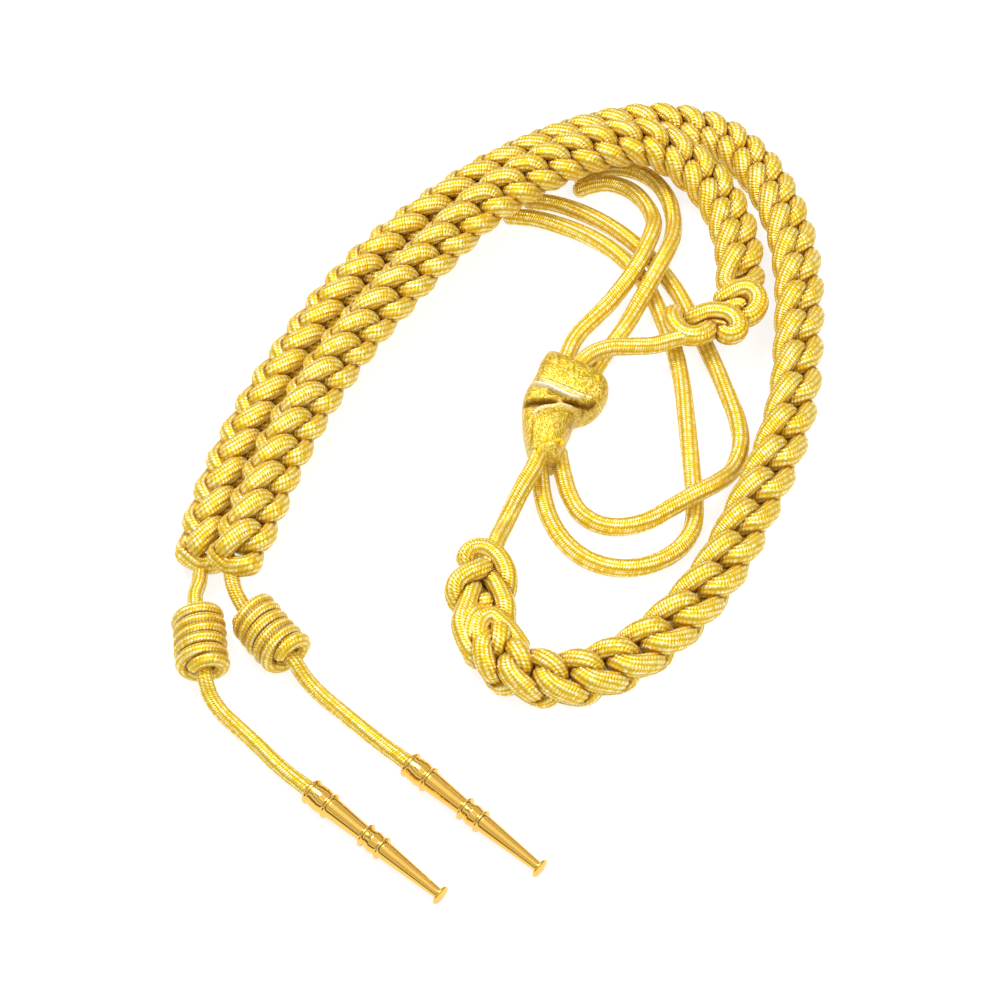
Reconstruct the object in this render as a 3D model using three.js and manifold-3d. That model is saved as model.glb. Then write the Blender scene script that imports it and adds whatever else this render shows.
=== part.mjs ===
// Shoulder aiguillette of gold cord, laid out on a flat surface. Millimetres, +Z up.
// The origin is on the surface, under the middle of the plaits, knots and tags.
import * as THREE from 'three';
import { mergeVertices } from 'three/addons/utils/BufferGeometryUtils.js';
import Module from 'manifold-3d';

const wasm = await Module();
wasm.setup();

// Sizes
const CORD = 6.8; // plain cord of the plaits, loops and links
const TAG_CORD = 5.6; // thinner cord down to the tags
const PLAIT_WIDTH = 23;
const PLAIT_THICK = 16;
const STITCH = 14; // one stitch of the plait
const STITCH_SWELL = 0.085; // how far each stitch bulges, as a share of the section
const STITCH_SLANT = 0.45; // how far a stitch runs on from one edge to the other, in stitches
const PLAIT_TAPER = 24; // length over which a plait narrows to its end
const PLAIT_END = 0.66; // how wide its end is, as a share of the plait
const BARREL_WRAPS = 4; // turns of cord round a barrel knot
const BARREL_WRAP = 6; // length that one turn takes
const BARREL_RADIUS = 9.5;
const BARREL_GROOVE = 1.5; // depth between two turns
const TAB_WIDTH = 25; // ribbon tab, across its upper fold
const TAB_UPPER = 17; // length of the upper fold
const TAB_FOOT_WIDTH = 18;
const TAB_LOWER = 25; // length of the lower fold
const TAB_THICK = 15.6;
const TAB_LAP = 1; // the lower fold lies this much lower than the upper one
const TAG_LENGTH = 60;
const TAG_SOCKET = 5; // depth of the socket that takes the cord
const TAG_RING = 4.8; // radius of the largest ring of a tag
const TAG_WALL = 0.7;
const GAP = 0.3; // clearance between two pieces

// Meshing
const CORD_SIDES = 8;
const CORD_STEP = 1.75; // length of one step of a cord, in diameters
const TAG_CORD_STEP = 1.2;
const RINGS = 4; // sections in one stitch
const AROUND = 8; // points round a section
const TURNED_SIDES = 14;

// The middle of the layout, taken off every place below
const MIDDLE = new THREE.Vector3(5.1, 14.65, 0);

// Where the plaits run: x, y, height of the middle, and roll in degrees
const LONG_ROUTE = [
  [-107.5, -39, 7.8, 10], [-106, -22, 8.9, 15], [-100, 4, 9.2, 18], [-91.5, 30, 9.2, 18],
  [-79.5, 57.5, 9.2, 17], [-65.5, 84.5, 9.2, 15], [-49.5, 109, 9.2, 10], [-30.5, 130.5, 9.2, 6],
  [-8.5, 151, 9.1, 4], [15, 167, 9.1, 2], [39, 178, 9, 0], [64, 182.5, 9.1, -10],
  [87, 175.5, 10, -30], [104.5, 156, 10.9, -41], [114.5, 126, 11.6, -55], [117, 97, 11.8, -58],
  [115, 68, 11.8, -60], [111, 38, 11.8, -60], [103.5, 12.5, 11.8, -60], [92, -14, 11.8, -60],
  [78.5, -41, 11.7, -58], [61.5, -63, 11.5, -54], [42, -78.5, 11.2, -52], [21, -85, 11, -50],
  [2, -79, 10.6, -45], [-7.5, -64, 9.8, -35], [-9.5, -53, 8.8, -25],
];
const SHORT_ROUTE = [
  [-95, -41, 17, 0], [-89.5, -22, 19.6, 0], [-81.5, 6, 19, 0], [-71.5, 32, 19, 0],
  [-58, 59, 19, 0], [-42, 84, 19, -3], [-25, 107, 19.7, -8], [-6, 129.5, 20.6, -12],
  [16.5, 147.5, 20.7, -13], [40, 159.5, 21.2, -12], [60, 162, 20.4, -20], [76, 154, 15.8, -35],
  [87.5, 139, 13, -47], [93.5, 119, 11.9, -58], [94.5, 99, 12, -62], [92, 84, 13.5, -65],
];

// Where the cords run
const ARC_OUTER = [
  [30, 156.5, 3.5], [39, 161.3, 3.5], [50, 162.8, 3.5], [60.5, 158, 3.5],
  [67, 148.5, 3.5], [69.5, 136, 3.8], [68.5, 122, 7.5], [64.5, 109, 10.8], [60, 99, 10.8],
  [55.5, 90, 9.4], [50, 81.5, 4.6], [44.5, 72.5, 3.8], [39.5, 64, 4.2], [36, 57, 4.4],
  [33.3, 51.5, 4.4], [31.5, 47, 4.4],
];
const ARC_INNER = [
  [30, 149.5, 3.5], [36, 153, 3.5], [44, 154.5, 3.5], [52.5, 151, 3.5], [59, 142.5, 3.5],
  [61.3, 132, 6.4], [60.5, 123, 10.6], [57, 112.5, 10.8], [53.5, 104.5, 10.8], [48.5, 97, 8.2],
  [42, 90, 4.2], [36, 83, 3.6], [31, 76.5, 3.8], [27.5, 69.5, 4.4], [25, 61.5, 4.4], [22.5, 54, 4.4],
  [20.8, 49, 4.4],
];
const LOOP_OUTER = [
  [9, 145, 3.5], [20, 144, 3.5], [30.5, 140, 3.5], [40.5, 134, 3.5],
  [49, 127, 3.5], [57, 118, 3.5], [63.5, 108, 3.5], [69, 98, 3.5], [73.5, 87, 3.5],
  [78, 74, 3.5], [82.5, 60, 3.5], [86.5, 46, 3.5], [89.5, 34, 3.5], [90, 22, 3.5], [86.5, 11, 4],
  [80, 2, 8.4], [72, -4.5, 10.8], [63.5, -9, 9], [54.5, -12.5, 5], [45, -14.5, 3.6],
  [36.5, -13.5, 3.6], [29.5, -8.5, 3.8], [25.5, -0.5, 4.3], [23.5, 8, 4.4], [22.3, 15, 4.4],
  [21.8, 21, 4.4],
];
const LOOP_INNER = [
  [1, 137, 3.5], [14, 135.5, 3.5], [25, 131.5, 3.5], [35.5, 126, 3.5],
  [45, 118.5, 3.5], [52.5, 109.5, 3.5], [58, 99, 3.5], [62, 87.5, 3.5], [65.3, 75.5, 3.5],
  [68, 63, 3.5], [69.5, 50, 3.5], [70.2, 37, 3.5], [70.8, 23, 3.5], [71.3, 9, 3.5],
  [71.6, -5, 3.5], [70, -16, 3.5], [65, -24, 3.5], [57.5, -29.5, 3.5], [48.5, -32.3, 3.5],
  [39, -31.8, 3.5], [30.5, -28, 3.5], [23.5, -21, 3.5], [18.5, -11.5, 3.5], [15.8, -1, 3.7],
  [14.8, 9, 4.4], [14.4, 15.5, 4.4], [14.4, 21, 4.4],
];
const LONG_LINK = [
  [-5, -40, 11.5], [-3, -33, 12], [-1, -25, 10.5], [1.5, -16, 6.5], [4.5, -8, 6],
  [8.5, -1, 10], [12, 5, 12], [14, 11, 11.9], [15.3, 16.5, 11.7], [15.8, 22, 11.7],
];
const SHORT_LINK = [
  [74, 67, 14], [67, 65.5, 13.5], [59, 64.3, 11.2], [50, 63.6, 11.2], [42, 62.8, 11.6],
  [35.5, 60, 11.6], [31, 55.5, 11.6], [28, 50.5, 11.6],
];

// Barrel knots: the middle of each and the way its cord runs through, in degrees from +X
const BARREL_LEFT = [[-105, -67.5, 9.9], -79.5];
const BARREL_RIGHT = [[-81.2, -64.3, 9.9], -50];
// Tags: where the mouth of each is and the way it points
const TAG_LEFT = [[-64.2, -123.4, 4.9], -41];
const TAG_RIGHT = [[-31, -113.2, 4.9], -41.6];

// The tag cords: from the plait to the barrel knot, and from there to the tag
const TAG_CORD_LEFT = [
  [-107.5, -35, 7], [-107.5, -41, 7.2], [-108.3, -47.5, 8.8], ...onward(BARREL_LEFT, [-15, -12, 12, 15]),
  [-100.4, -87, 5.6], [-96.5, -92, 3.2], [-90.5, -98, 3.1], [-83.5, -104.8, 3.1], [-76.5, -112, 3.1],
  [-71, -117.4, 4], ...onward(TAG_LEFT, [-3, 0, TAG_SOCKET - GAP]),
];
const TAG_CORD_RIGHT = [
  [-95.5, -36, 16.5], [-95.3, -42, 16], [-93.8, -48, 12.8], ...onward(BARREL_RIGHT, [-15, -12, 12, 15]),
  [-67.8, -79.8, 5.6], [-62.5, -84.8, 3.2], [-53.8, -92.8, 3.1], [-44.6, -101, 3.1],
  [-37.5, -107.4, 4], ...onward(TAG_RIGHT, [-3, 0, TAG_SOCKET - GAP]),
];

// Strands that the first turns of each plait make, as they lie on its end
const LONG_KNOT = [
  [[-17.5, -56, 9], [-16.5, -44, 12], [-12, -36, 14], [-5.5, -32.5, 14.2],
    [1, -35.5, 13.2], [4.5, -43, 11.5], [4.2, -54, 9]],
  [[1, -36, 10], [-5, -39.5, 14.5], [-11, -43.5, 15.5], [-12.5, -51, 15], [-11.5, -60, 14.5]],
  [[-6, -42, 14], [-1.5, -48, 14], [0.5, -57, 13.5]],
];
const SHORT_KNOT = [
  [[98, 88, 13.5], [93.5, 79.5, 14.5], [85, 79.5, 14.5], [76.5, 79.5, 14.3], [68.5, 77.5, 14],
    [64.5, 71.5, 13.8], [67.5, 65, 14], [75, 63.2, 14.5], [82, 66, 15]],
  [[92, 81, 15.5], [91.5, 72.5, 15.8], [85.5, 67, 16], [77.5, 69, 15.5], [73, 75, 14.5]],
];
// Their cores: middle, then half sizes
const LONG_CORE = [[-6.5, -45.5, 9.2], [11, 12.5, 8.8]];
const SHORT_CORE = [[80, 73, 14.3], [14, 8.5, 6.6]];

// The ribbon tab: the middle of its top edge, of its fold and of its foot
const TAB_TOP = [30, 54.5];
const TAB_FOLD = [21, 40.5];
const TAB_FOOT = [18.2, 15];

// Turned shape of a tag: place along it and radius, each as a share of its length and ring
const TAG_PROFILE = [
  [0.03, 1], [0.05, 0.86], [0.085, 0.95], [0.125, 0.86], [0.14, 0.78], [0.155, 1], [0.175, 0.79],
  [0.3, 0.7], [0.42, 0.62], [0.43, 0.92], [0.45, 0.7], [0.49, 0.81], [0.53, 0.7], [0.55, 0.9],
  [0.57, 0.66], [0.75, 0.53], [0.96, 0.38], [0.985, 0.72],
];

const gold = new THREE.MeshStandardMaterial({ color: 0xdcae34, roughness: 0.42, metalness: 0.55 });
const lace = new THREE.MeshStandardMaterial({ color: 0xe0bc50, roughness: 0.36, metalness: 0.65 });
const brass = new THREE.MeshStandardMaterial({ color: 0xd08f2c, roughness: 0.18, metalness: 1 });

// Places along a piece that points a given way, each so far on from its own place
function onward([at, turn], distances) {
  const a = THREE.MathUtils.degToRad(turn);
  return distances.map((d) => [at[0] + d * Math.cos(a), at[1] + d * Math.sin(a), at[2]]);
}

const place = (p) => new THREE.Vector3(p[0], p[1], p[2] ?? 0).sub(MIDDLE);
const curveOf = (points) => new THREE.CatmullRomCurve3(points.map(place), false, 'centripetal');

// Solids

function toSolid(geometry) {
  const plain = geometry.index ? geometry.toNonIndexed() : geometry.clone();
  plain.deleteAttribute('normal');
  plain.deleteAttribute('uv');
  const g = mergeVertices(plain, 1e-4);
  const vertProperties = new Float32Array(g.attributes.position.array);
  const triVerts = new Uint32Array(g.index.array);
  return new wasm.Manifold(new wasm.Mesh({ numProp: 3, vertProperties, triVerts }));
}

// The largest body of a solid, as a geometry
function toGeometry(solid) {
  const bodies = solid.decompose();
  const main = bodies.reduce((a, b) => (b.volume() > a.volume() ? b : a));
  const mesh = main.getMesh();
  const g = new THREE.BufferGeometry();
  g.setAttribute('position', new THREE.BufferAttribute(new Float32Array(mesh.vertProperties), 3));
  g.setIndex(new THREE.BufferAttribute(new Uint32Array(mesh.triVerts), 1));
  const flat = g.toNonIndexed();
  flat.computeVertexNormals();
  return flat;
}

// Cords

function roundSection(diameter, sides) {
  const points = [];
  for (let i = 0; i < sides; i++) {
    const a = ((i + 0.5) / sides) * 2 * Math.PI;
    points.push(new THREE.Vector2(Math.cos(a), Math.sin(a)).multiplyScalar(diameter / 2));
  }
  return new THREE.Shape(points);
}

function tube(points, diameter, step) {
  const path = curveOf(points);
  const steps = Math.max(2, Math.round(path.getLength() / step));
  return new THREE.ExtrudeGeometry(roundSection(diameter, CORD_SIDES), {
    steps, extrudePath: path, bevelEnabled: false,
  });
}

// The way that a cord needs through what holds it, wider all round and GAP longer at each end
function socket(points, diameter, step = CORD_STEP) {
  const run = points.map((p) => new THREE.Vector3(...p));
  const last = run.length - 1;
  run[0].addScaledVector(run[0].clone().sub(run[1]).normalize(), GAP);
  run[last].addScaledVector(run[last].clone().sub(run[last - 1]).normalize(), GAP);
  return toSolid(tube(run.map((p) => p.toArray()), diameter + 3 * GAP, step * diameter));
}

// Plaits

// Width and thickness of a plait at a place along it, each as a share of its full size
function plaitShare(along, length, grow) {
  const near = Math.min(along, length - along);
  const taper = PLAIT_END + (1 - PLAIT_END) * Math.sin(Math.min(1, near / PLAIT_TAPER) * Math.PI / 2);
  const round = Math.min(1, near / (PLAIT_THICK / 2));
  return taper * (0.55 + 0.45 * Math.sqrt(1 - (1 - round) ** 2)) + grow;
}

function plaitRing(route, path, t, along, length, grow) {
  const at = path.getPointAt(along / length);
  const way = path.getTangentAt(along / length);
  const side = new THREE.Vector3().crossVectors(way, new THREE.Vector3(0, 0, 1)).normalize();
  const up = new THREE.Vector3().crossVectors(side, way).normalize();
  const spot = path.getUtoTmapping(along / length) * (route.length - 1);
  const i = Math.min(route.length - 2, Math.floor(spot));
  const roll = THREE.MathUtils.degToRad(THREE.MathUtils.lerp(route[i][3], route[i + 1][3], spot - i));
  const face = up.clone().multiplyScalar(Math.cos(roll)).addScaledVector(side, Math.sin(roll));
  const edge = side.clone().multiplyScalar(Math.cos(roll)).addScaledVector(up, -Math.sin(roll));
  const share = plaitShare(along, length, 0);
  const ring = [];
  for (let k = 0; k < AROUND; k++) {
    const a = (k / AROUND) * 2 * Math.PI;
    const swell = 1 + STITCH_SWELL * Math.cos(2 * Math.PI * (t - STITCH_SLANT * Math.cos(a)));
    const u = (PLAIT_WIDTH / 2) * share * swell * Math.cos(a) + grow * Math.cos(a);
    const v = (PLAIT_THICK / 2) * share * swell * Math.sin(a) + grow * Math.sin(a);
    ring.push(at.clone().addScaledVector(edge, u).addScaledVector(face, v));
  }
  return ring;
}

// A closed skin over rings of equal count, with a fan at each end
function skin(rings) {
  const n = rings[0].length;
  const points = rings.flat();
  const triangles = [];
  for (let i = 0; i + 1 < rings.length; i++) {
    for (let k = 0; k < n; k++) {
      const a = i * n + k, b = i * n + ((k + 1) % n);
      triangles.push(a, b + n, b, a, a + n, b + n);
    }
  }
  const last = (rings.length - 1) * n;
  for (let k = 1; k + 1 < n; k++) {
    triangles.push(0, k, k + 1);
    triangles.push(last, last + k + 1, last + k);
  }
  const g = new THREE.BufferGeometry().setFromPoints(points);
  g.setIndex(triangles);
  return g;
}

function plait(route, grow = 0) {
  const path = curveOf(route);
  path.arcLengthDivisions = 1500;
  const length = path.getLength();
  const count = Math.round(length / STITCH) * RINGS;
  const rings = [];
  for (let i = 0; i <= count; i++) {
    rings.push(plaitRing(route, path, i / RINGS, (i / count) * length, length, grow));
  }
  return skin(rings);
}

// Knots

function ball([middle, half]) {
  const g = new THREE.SphereGeometry(1, 14, 9);
  g.scale(...half);
  const p = place(middle);
  return toSolid(g.translate(p.x, p.y, p.z));
}

// Strands over a core, cut back to clear the plait's end and the link that goes in
function plaitKnot(strands, core, route, link) {
  let knot = ball(core);
  for (const s of strands) knot = knot.add(toSolid(tube(s, CORD, 1.3 * CORD)));
  knot = knot.subtract(toSolid(plait(route, GAP)));
  return toGeometry(knot.subtract(socket(link, CORD)));
}

// A barrel knot round the cord, which runs on through it
function barrelKnot() {
  const bore = TAG_CORD / 2 + GAP;
  const groove = BARREL_RADIUS - BARREL_GROOVE;
  const length = BARREL_WRAPS * BARREL_WRAP;
  const profile = [new THREE.Vector2(bore, -length / 2)];
  for (let w = 0; w < BARREL_WRAPS; w++) {
    const from = -length / 2 + w * BARREL_WRAP;
    const start = w === 0 ? groove - BARREL_GROOVE : groove;
    profile.push(new THREE.Vector2(start, from));
    profile.push(new THREE.Vector2(BARREL_RADIUS - 0.3 * BARREL_GROOVE, from + 0.22 * BARREL_WRAP));
    profile.push(new THREE.Vector2(BARREL_RADIUS, from + 0.5 * BARREL_WRAP));
    profile.push(new THREE.Vector2(BARREL_RADIUS - 0.3 * BARREL_GROOVE, from + 0.78 * BARREL_WRAP));
  }
  profile.push(new THREE.Vector2(groove - BARREL_GROOVE, length / 2));
  profile.push(new THREE.Vector2(bore, length / 2));
  profile.push(profile[0].clone());
  return new THREE.LatheGeometry(profile, TURNED_SIDES);
}

// Ribbon tab

// A flat-bottomed fold of ribbon between two places, rounded along its top edges
function fold(from, to, width, toWidth, thick) {
  const ring = (at, w, dir) => {
    const side = new THREE.Vector3(dir.y, -dir.x, 0);
    const round = 0.3 * thick;
    const section = [
      [-w / 2, 0], [w / 2, 0], [w / 2, thick - round], [w / 2 - 0.3 * round, thick - 0.3 * round],
      [w / 2 - round, thick], [round - w / 2, thick], [0.3 * round - w / 2, thick - 0.3 * round],
      [-w / 2, thick - round],
    ];
    return section.map(([u, v]) => at.clone().addScaledVector(side, u).add(new THREE.Vector3(0, 0, v)));
  };
  const a = place(from), b = place(to);
  const dir = b.clone().sub(a).normalize();
  return toSolid(skin([ring(a, width, dir), ring(b, toWidth, dir)]));
}

// One end of the ribbon pushed out along its own direction
function beyond(from, to, length) {
  const d = new THREE.Vector2(to[0] - from[0], to[1] - from[1]).setLength(length);
  return [from[0] + d.x, from[1] + d.y];
}

function shoulderTab() {
  const top = beyond(TAB_FOLD, TAB_TOP, TAB_UPPER);
  const foot = beyond(TAB_FOLD, TAB_FOOT, TAB_LOWER);
  const heel = beyond(TAB_FOLD, TAB_FOOT, -0.35 * TAB_UPPER);
  let tab = fold(TAB_FOLD, top, TAB_WIDTH, TAB_WIDTH, TAB_THICK);
  tab = tab.add(fold(heel, foot, TAB_WIDTH * 0.8, TAB_FOOT_WIDTH, TAB_THICK - TAB_LAP));
  for (const cord of [ARC_OUTER, ARC_INNER, LOOP_OUTER, LOOP_INNER, LONG_LINK, SHORT_LINK]) {
    tab = tab.subtract(socket(cord, CORD));
  }
  return toGeometry(tab);
}

// Tags

function tag() {
  const bore = TAG_CORD / 2 + GAP;
  const profile = [
    new THREE.Vector2(0, TAG_SOCKET), new THREE.Vector2(bore, TAG_SOCKET),
    new THREE.Vector2(bore, 0), new THREE.Vector2(bore + TAG_WALL, 0),
  ];
  for (const [along, radius] of TAG_PROFILE) {
    const r = Math.max(radius * TAG_RING, along * TAG_LENGTH < TAG_SOCKET + 1 ? bore + TAG_WALL : 0);
    profile.push(new THREE.Vector2(r, along * TAG_LENGTH));
  }
  const end = TAG_PROFILE[TAG_PROFILE.length - 1][1] * TAG_RING;
  profile.push(new THREE.Vector2(end, TAG_LENGTH), new THREE.Vector2(0, TAG_LENGTH));
  return new THREE.LatheGeometry(profile, TURNED_SIDES);
}

// Assembly

function meshOf(name, geometry, material) {
  const mesh = new THREE.Mesh(geometry, material);
  mesh.name = name;
  return mesh;
}

function addCord(group, name, points, diameter, step = CORD_STEP) {
  group.add(meshOf(name, tube(points, diameter, step * diameter), gold));
}

// A turned piece, whose own axis is +Y, at its place and pointing its way
function addTurned(group, name, geometry, [at, turn], material) {
  const mesh = meshOf(name, geometry, material);
  mesh.position.copy(place(at));
  mesh.rotation.set(0, 0, THREE.MathUtils.degToRad(turn - 90));
  group.add(mesh);
}

// A plait with the socket that its tag cord comes out of
function addPlait(group, name, route, cord) {
  const solid = toSolid(plait(route)).subtract(socket(cord, TAG_CORD, TAG_CORD_STEP));
  group.add(meshOf(name, toGeometry(solid), gold));
}

function buildAiguillette() {
  const group = new THREE.Group();
  addPlait(group, 'long_plait', LONG_ROUTE, TAG_CORD_LEFT);
  addPlait(group, 'short_plait', SHORT_ROUTE, TAG_CORD_RIGHT);
  group.add(meshOf('long_plait_knot', plaitKnot(LONG_KNOT, LONG_CORE, LONG_ROUTE, LONG_LINK), gold));
  group.add(meshOf('short_plait_knot', plaitKnot(SHORT_KNOT, SHORT_CORE, SHORT_ROUTE, SHORT_LINK), gold));
  group.add(meshOf('shoulder_tab', shoulderTab(), lace));
  addCord(group, 'arc_cord_outer', ARC_OUTER, CORD);
  addCord(group, 'arc_cord_inner', ARC_INNER, CORD);
  addCord(group, 'loop_cord_outer', LOOP_OUTER, CORD);
  addCord(group, 'loop_cord_inner', LOOP_INNER, CORD);
  addCord(group, 'long_link_cord', LONG_LINK, CORD);
  addCord(group, 'short_link_cord', SHORT_LINK, CORD);
  addCord(group, 'tag_cord_left', TAG_CORD_LEFT, TAG_CORD, TAG_CORD_STEP);
  addCord(group, 'tag_cord_right', TAG_CORD_RIGHT, TAG_CORD, TAG_CORD_STEP);
  addTurned(group, 'barrel_knot_left', barrelKnot(), BARREL_LEFT, gold);
  addTurned(group, 'barrel_knot_right', barrelKnot(), BARREL_RIGHT, gold);
  addTurned(group, 'tag_left', tag(), TAG_LEFT, brass);
  addTurned(group, 'tag_right', tag(), TAG_RIGHT, brass);
  return group;
}

export default buildAiguillette();
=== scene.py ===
"""Gold shoulder aiguillette laid on a flat surface.

Two plaits of ribbed gold cord, the looped cords that a folded lace tab gathers,
two barrel knots and two turned tags. Routes are typed in millimetres in the
layout's own frame, and the scene is in metres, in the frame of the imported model.
"""
import logging
from dataclasses import dataclass, field
from enum import Enum
from functools import reduce

import bpy
import numpy as np
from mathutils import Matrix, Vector


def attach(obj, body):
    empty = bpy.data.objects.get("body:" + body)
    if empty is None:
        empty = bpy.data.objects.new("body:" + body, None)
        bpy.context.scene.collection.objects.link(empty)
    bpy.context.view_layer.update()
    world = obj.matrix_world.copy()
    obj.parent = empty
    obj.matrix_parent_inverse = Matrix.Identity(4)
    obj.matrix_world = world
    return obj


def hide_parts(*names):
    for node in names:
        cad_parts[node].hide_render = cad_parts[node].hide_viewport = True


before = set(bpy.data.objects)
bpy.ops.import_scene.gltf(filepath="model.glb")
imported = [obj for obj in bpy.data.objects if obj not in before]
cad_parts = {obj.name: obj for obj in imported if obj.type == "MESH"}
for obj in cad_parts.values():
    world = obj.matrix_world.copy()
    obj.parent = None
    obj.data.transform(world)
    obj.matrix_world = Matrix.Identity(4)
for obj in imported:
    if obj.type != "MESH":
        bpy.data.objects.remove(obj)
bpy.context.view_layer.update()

Array = np.ndarray
Colour = tuple[float, float, float]
Spot = tuple[list[float], float]
Tree = bpy.types.ShaderNodeTree
Socket = bpy.types.NodeSocket
LOG = logging.getLogger("aiguillette")

MM = 0.001
UP = np.array([0.0, 0.0, 1.0])
MIDDLE = np.array([5.1, 14.65, 0.0])  # middle of the layout, taken off every place
CORD = 6.8  # plain cord
TAG_CORD = 5.6  # thinner cord down to the tags
STITCH = 14.0  # one stitch of a plait
STRAND_RIBS, STRAND_DEPTH = 12, 0.085  # the thick strand of the plaits and their first turns
GAP = 0.3  # clearance round a cord in its socket
FAR = 1e3  # further than any two places of the object are apart

# Where the plaits run: x, y, height of the middle, and roll in degrees
LONG_ROUTE = [
    [-108, -37, 7.8, 10], [-106, -22, 8.9, 15], [-100, 4, 9.2, 18], [-91.5, 30, 9.2, 18],
    [-79.5, 57.5, 9.2, 17], [-65.5, 84.5, 9.2, 15], [-49.5, 109, 9.2, 10], [-30.5, 130.5, 9.2, 6],
    [-8.5, 151, 9.1, 4], [15, 167, 9.1, 2], [39, 178, 9, 0], [64, 182.5, 9.1, -10],
    [87, 175.5, 10, -30], [104.5, 156, 10.9, -41], [114.5, 126, 11.6, -55], [117, 97, 11.8, -58],
    [115, 68, 11.8, -60], [111, 38, 11.8, -60], [103.5, 12.5, 11.8, -60], [92, -14, 11.8, -60],
    [78.5, -41, 11.7, -58], [61.5, -63, 11.5, -54], [42, -78.5, 11.2, -52], [21, -85, 11, -50],
    [2, -79, 10.6, -45], [-7.5, -64, 9.8, -35], [-9.5, -53, 8.8, -25],
]
SHORT_ROUTE = [
    [-97, -44.5, 18.6, 0], [-89.5, -22, 19.6, 0], [-81.5, 6, 19, 0], [-71.5, 32, 19, 0],
    [-58, 59, 19, 0], [-42, 84, 19, -3], [-25, 107, 19.7, -8], [-6, 129.5, 20.6, -12],
    [16.5, 147.5, 20.7, -13], [40, 159.5, 21.2, -12], [60, 162, 20.4, -20], [76, 154, 15.8, -35],
    [87.5, 139, 13, -47], [93.5, 119, 11.9, -58], [94.5, 99, 12, -62], [92, 84, 13.5, -65],
]
# How long a stitch is, at distances along each plait
LONG_STITCHES = [
    [0, 13.8], [220, 13.8], [260, 12.5], [300, 10], [335, 10], [370, 12.8], [420, 14.5],
    [450, 15.7], [585, 15.7], [615, 13.7], [650, 13.7], [681, 11.5],
]
SHORT_STITCHES = [
    [0, 13.3], [190, 13.3], [235, 10.8], [275, 10.8], [300, 12], [325, 12], [350, 14], [372, 14],
]

# Where the cords run
ARC_OUTER = [
    [30, 156.5, 3.5], [39, 161.3, 3.5], [50, 162.8, 3.5], [60.5, 158, 3.5], [67, 148.5, 3.5],
    [69.5, 136, 3.8], [68.5, 122, 7.5], [64.5, 109, 10.8], [60, 99, 10.8], [55.5, 90, 9.4],
    [50, 81.5, 4.6], [44.5, 72.5, 3.8], [39.5, 64, 4.2], [36, 57, 4.4], [33.3, 51.5, 4.4],
    [31.5, 47, 4.4],
]
ARC_INNER = [
    [30, 149.5, 3.5], [36, 153, 3.5], [44, 154.5, 3.5], [52.5, 151, 3.5], [59, 142.5, 3.5],
    [61.3, 132, 6.4], [60.5, 123, 10.6], [57, 112.5, 10.8], [53.5, 104.5, 10.8], [48.5, 97, 8.2],
    [42, 90, 4.2], [36, 83, 3.6], [31, 76.5, 3.8], [27.5, 69.5, 4.4], [25, 61.5, 4.4],
    [22.5, 54, 4.4], [20.8, 49, 4.4],
]
LOOP_OUTER = [
    [9, 145, 3.5], [20, 144, 3.5], [30.5, 140, 3.5], [40.5, 134, 3.5], [49, 127, 3.5],
    [57, 118, 3.5], [63.5, 108, 3.5], [69, 98, 3.5], [73.5, 87, 3.5], [78, 74, 3.5],
    [82.5, 60, 3.5], [86.5, 46, 3.5], [89.5, 34, 3.5], [90, 22, 3.5], [86.5, 11, 4], [80, 2, 8.4],
    [72, -4.5, 10.8], [63.5, -9, 9], [54.5, -12.5, 5], [45, -14.5, 3.6], [36.5, -13.5, 3.6],
    [29.5, -8.5, 3.8], [25.5, -0.5, 4.3], [23.5, 8, 4.4], [22.3, 15, 4.4], [21.8, 21, 4.4],
]
LOOP_INNER = [
    [1, 137, 3.5], [14, 135.5, 3.5], [25, 131.5, 3.5], [35.5, 126, 3.5], [45, 118.5, 3.5],
    [52.5, 109.5, 3.5], [58, 99, 3.5], [62, 87.5, 3.5], [65.3, 75.5, 3.5], [68, 63, 3.5],
    [69.5, 50, 3.5], [70.2, 37, 3.5], [70.8, 23, 3.5], [71.3, 9, 3.5], [71.6, -5, 3.5],
    [70, -16, 3.5], [65, -24, 3.5], [57.5, -29.5, 3.5], [48.5, -32.3, 3.5], [39, -31.8, 3.5],
    [30.5, -28, 3.5], [23.5, -21, 3.5], [18.5, -11.5, 3.5], [15.8, -1, 3.7], [14.8, 9, 4.4],
    [14.4, 15.5, 4.4], [14.4, 21, 4.4],
]
LONG_LINK = [
    [-5, -40, 11.5], [-3, -33, 12], [-1, -25, 10.5], [1.5, -16, 6.5], [4.5, -8, 6], [8.5, -1, 10],
    [12, 5, 12], [14, 11, 11.9], [15.3, 16.5, 11.7], [15.8, 22, 11.7],
]
SHORT_LINK = [
    [74, 67, 14], [67, 65.5, 13.5], [59, 64.3, 11.2], [50, 63.6, 11.2], [42, 62.8, 11.6],
    [35.5, 60, 11.6], [31, 55.5, 11.6], [28, 50.5, 11.6],
]

# Barrel knots: the middle of each and the way its cord runs through, in degrees from +X
BARREL_LEFT = ([-105, -67.5, 9.9], -79.5)
BARREL_RIGHT = ([-81.2, -64.3, 9.9], -50)
# Tags: where the mouth of each is and the way it points
TAG_LEFT = ([-64.2, -123.4, 4.9], -41)
TAG_RIGHT = ([-31, -113.2, 4.9], -41.6)
TAG_SOCKET = 5


def heading(turn: float) -> tuple[Array, Array]:
    """The level way at a turn in degrees from +X, and the level way to its left."""
    cos, sin = np.cos(np.radians(turn)), np.sin(np.radians(turn))
    return np.array([cos, sin, 0.0]), np.array([-sin, cos, 0.0])


def onward(spot: Spot, distances: list[float]) -> list[list[float]]:
    """Places that a turned piece's own line passes: its place plus a distance on its way.

    Args:
        spot: the piece's place in mm and its turn in degrees.
        distances: how far on each place is, in mm.

    Returns:
        One place for each distance.
    """
    at, turn = spot
    return [list(np.array(at) + d * heading(turn)[0]) for d in distances]


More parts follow.
